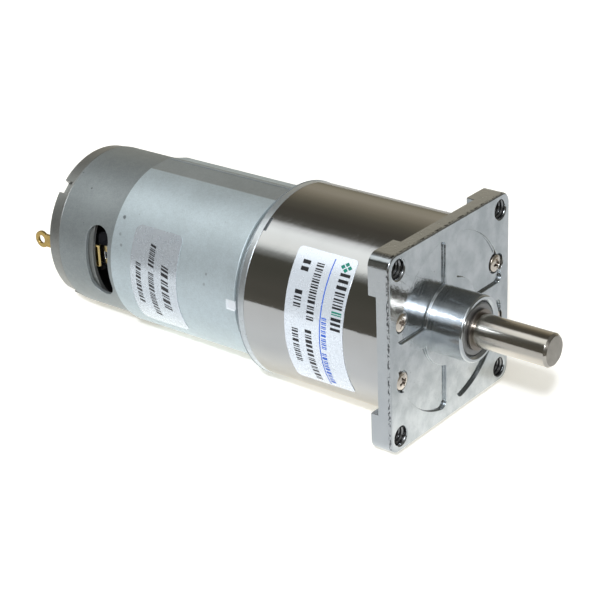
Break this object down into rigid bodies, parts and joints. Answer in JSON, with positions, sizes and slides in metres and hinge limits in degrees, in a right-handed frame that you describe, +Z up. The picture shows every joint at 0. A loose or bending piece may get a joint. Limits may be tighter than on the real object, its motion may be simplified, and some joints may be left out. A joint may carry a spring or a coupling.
{
  "type": "dc gear motor",
  "caption": "Brushed DC gear motor with a cylindrical can, a flux ring, a steel gearbox tube, a square front flange with corner holes, a round boss and a D-cut output shaft.",
  "frame": {"origin": "on the output shaft's axis, in the plane of the square flange's front face", "axes": "+X along the output shaft, out of the front; +Z up, square to one side of the flange; +Y to the right seen from the front"},
  "size_m": [0.1249, 0.042, 0.042],
  "materials": {
    "zinc_plated_casting": "bright plated die casting",
    "nickel_steel": "bright nickel plated steel tube",
    "zinc_steel": "satin zinc plated steel",
    "ground_steel": "ground steel",
    "screw_steel": "nickel plated",
    "sintered_bronze": "dull, oily",
    "gear_steel": "sintered steel",
    "brass": "bare brass",
    "black_plastic": "moulded",
    "carbon": "dull graphite",
    "ferrite": "dull ceramic",
    "copper": "enamelled wire",
    "lamination": "stacked sheet steel",
    "spring_steel": "bare",
    "white_label": "printed film",
    "silver_label": "printed film"
  },
  "bodies": {
    "housing": {"front_flange": "zinc_plated_casting", "front_bush": "sintered_bronze", "inner_bush": "sintered_bronze", "flange_screws": "screw_steel", "gearbox_tube": "nickel_steel", "gearbox_rear_plate": "zinc_steel", "gearbox_posts": "ground_steel", "rear_plate_screws": "screw_steel", "gear_pins": "ground_steel", "pin_washer_a": "gear_steel", "pin_spacer_a": "gear_steel", "pin_spacer_b": "gear_steel", "pin_collar_b": "gear_steel", "thrust_washer": "spring_steel", "motor_screws": "screw_steel", "motor_can": "zinc_steel", "flux_ring": "zinc_steel", "rear_cap": "zinc_steel", "brush_card": "black_plastic", "terminals": "brass", "brush_holders": "brass", "brushes": "carbon", "brush_springs": "spring_steel", "magnets": "ferrite", "magnet_clips": "spring_steel", "motor_front_bush": "sintered_bronze", "motor_rear_bush": "sintered_bronze", "gearbox_label": "white_label", "can_label": "silver_label"},
    "output": {"output_shaft": "ground_steel", "output_gear": "gear_steel", "shaft_clip": "spring_steel"},
    "stage_1": {"gear_stage_1": "brass"},
    "stage_2": {"gear_stage_2": "gear_steel"},
    "stage_3": {"gear_stage_3": "gear_steel"},
    "stage_4": {"gear_stage_4": "gear_steel"},
    "rotor": {"rotor_shaft": "ground_steel", "armature_core": "lamination", "windings": "copper", "commutator": "copper", "motor_pinion": "brass", "rotor_washers": "white_label"}
  },
  "joints": [
    {"name": "output_spin", "type": "hinge", "parent": "housing", "child": "output", "pos_m": [0, 0, 0], "axis": [1, 0, 0], "continuous": true},
    {"name": "stage_4_spin", "type": "hinge", "parent": "housing", "child": "stage_4", "pos_m": [-0.015, 0.00525, -0.00909], "axis": [1, 0, 0], "continuous": true},
    {"name": "stage_3_spin", "type": "hinge", "parent": "housing", "child": "stage_3", "pos_m": [-0.02, -0.00525, -0.00909], "axis": [1, 0, 0], "continuous": true},
    {"name": "stage_2_spin", "type": "hinge", "parent": "housing", "child": "stage_2", "pos_m": [-0.027, 0.00525, -0.00909], "axis": [1, 0, 0], "continuous": true},
    {"name": "stage_1_spin", "type": "hinge", "parent": "housing", "child": "stage_1", "pos_m": [-0.032, -0.00525, -0.00909], "axis": [1, 0, 0], "continuous": true},
    {"name": "rotor_spin", "type": "hinge", "parent": "housing", "child": "rotor", "pos_m": [-0.06, 0, 0], "axis": [1, 0, 0], "continuous": true}
  ],
  "couplings": [
    {"joint": "stage_1_spin", "follows": "rotor_spin", "ratio": -0.35484},
    {"joint": "stage_2_spin", "follows": "rotor_spin", "ratio": 0.12591},
    {"joint": "stage_3_spin", "follows": "rotor_spin", "ratio": -0.044678},
    {"joint": "stage_4_spin", "follows": "rotor_spin", "ratio": 0.015853},
    {"joint": "output_spin", "follows": "rotor_spin", "ratio": -0.0063414}
  ]
}
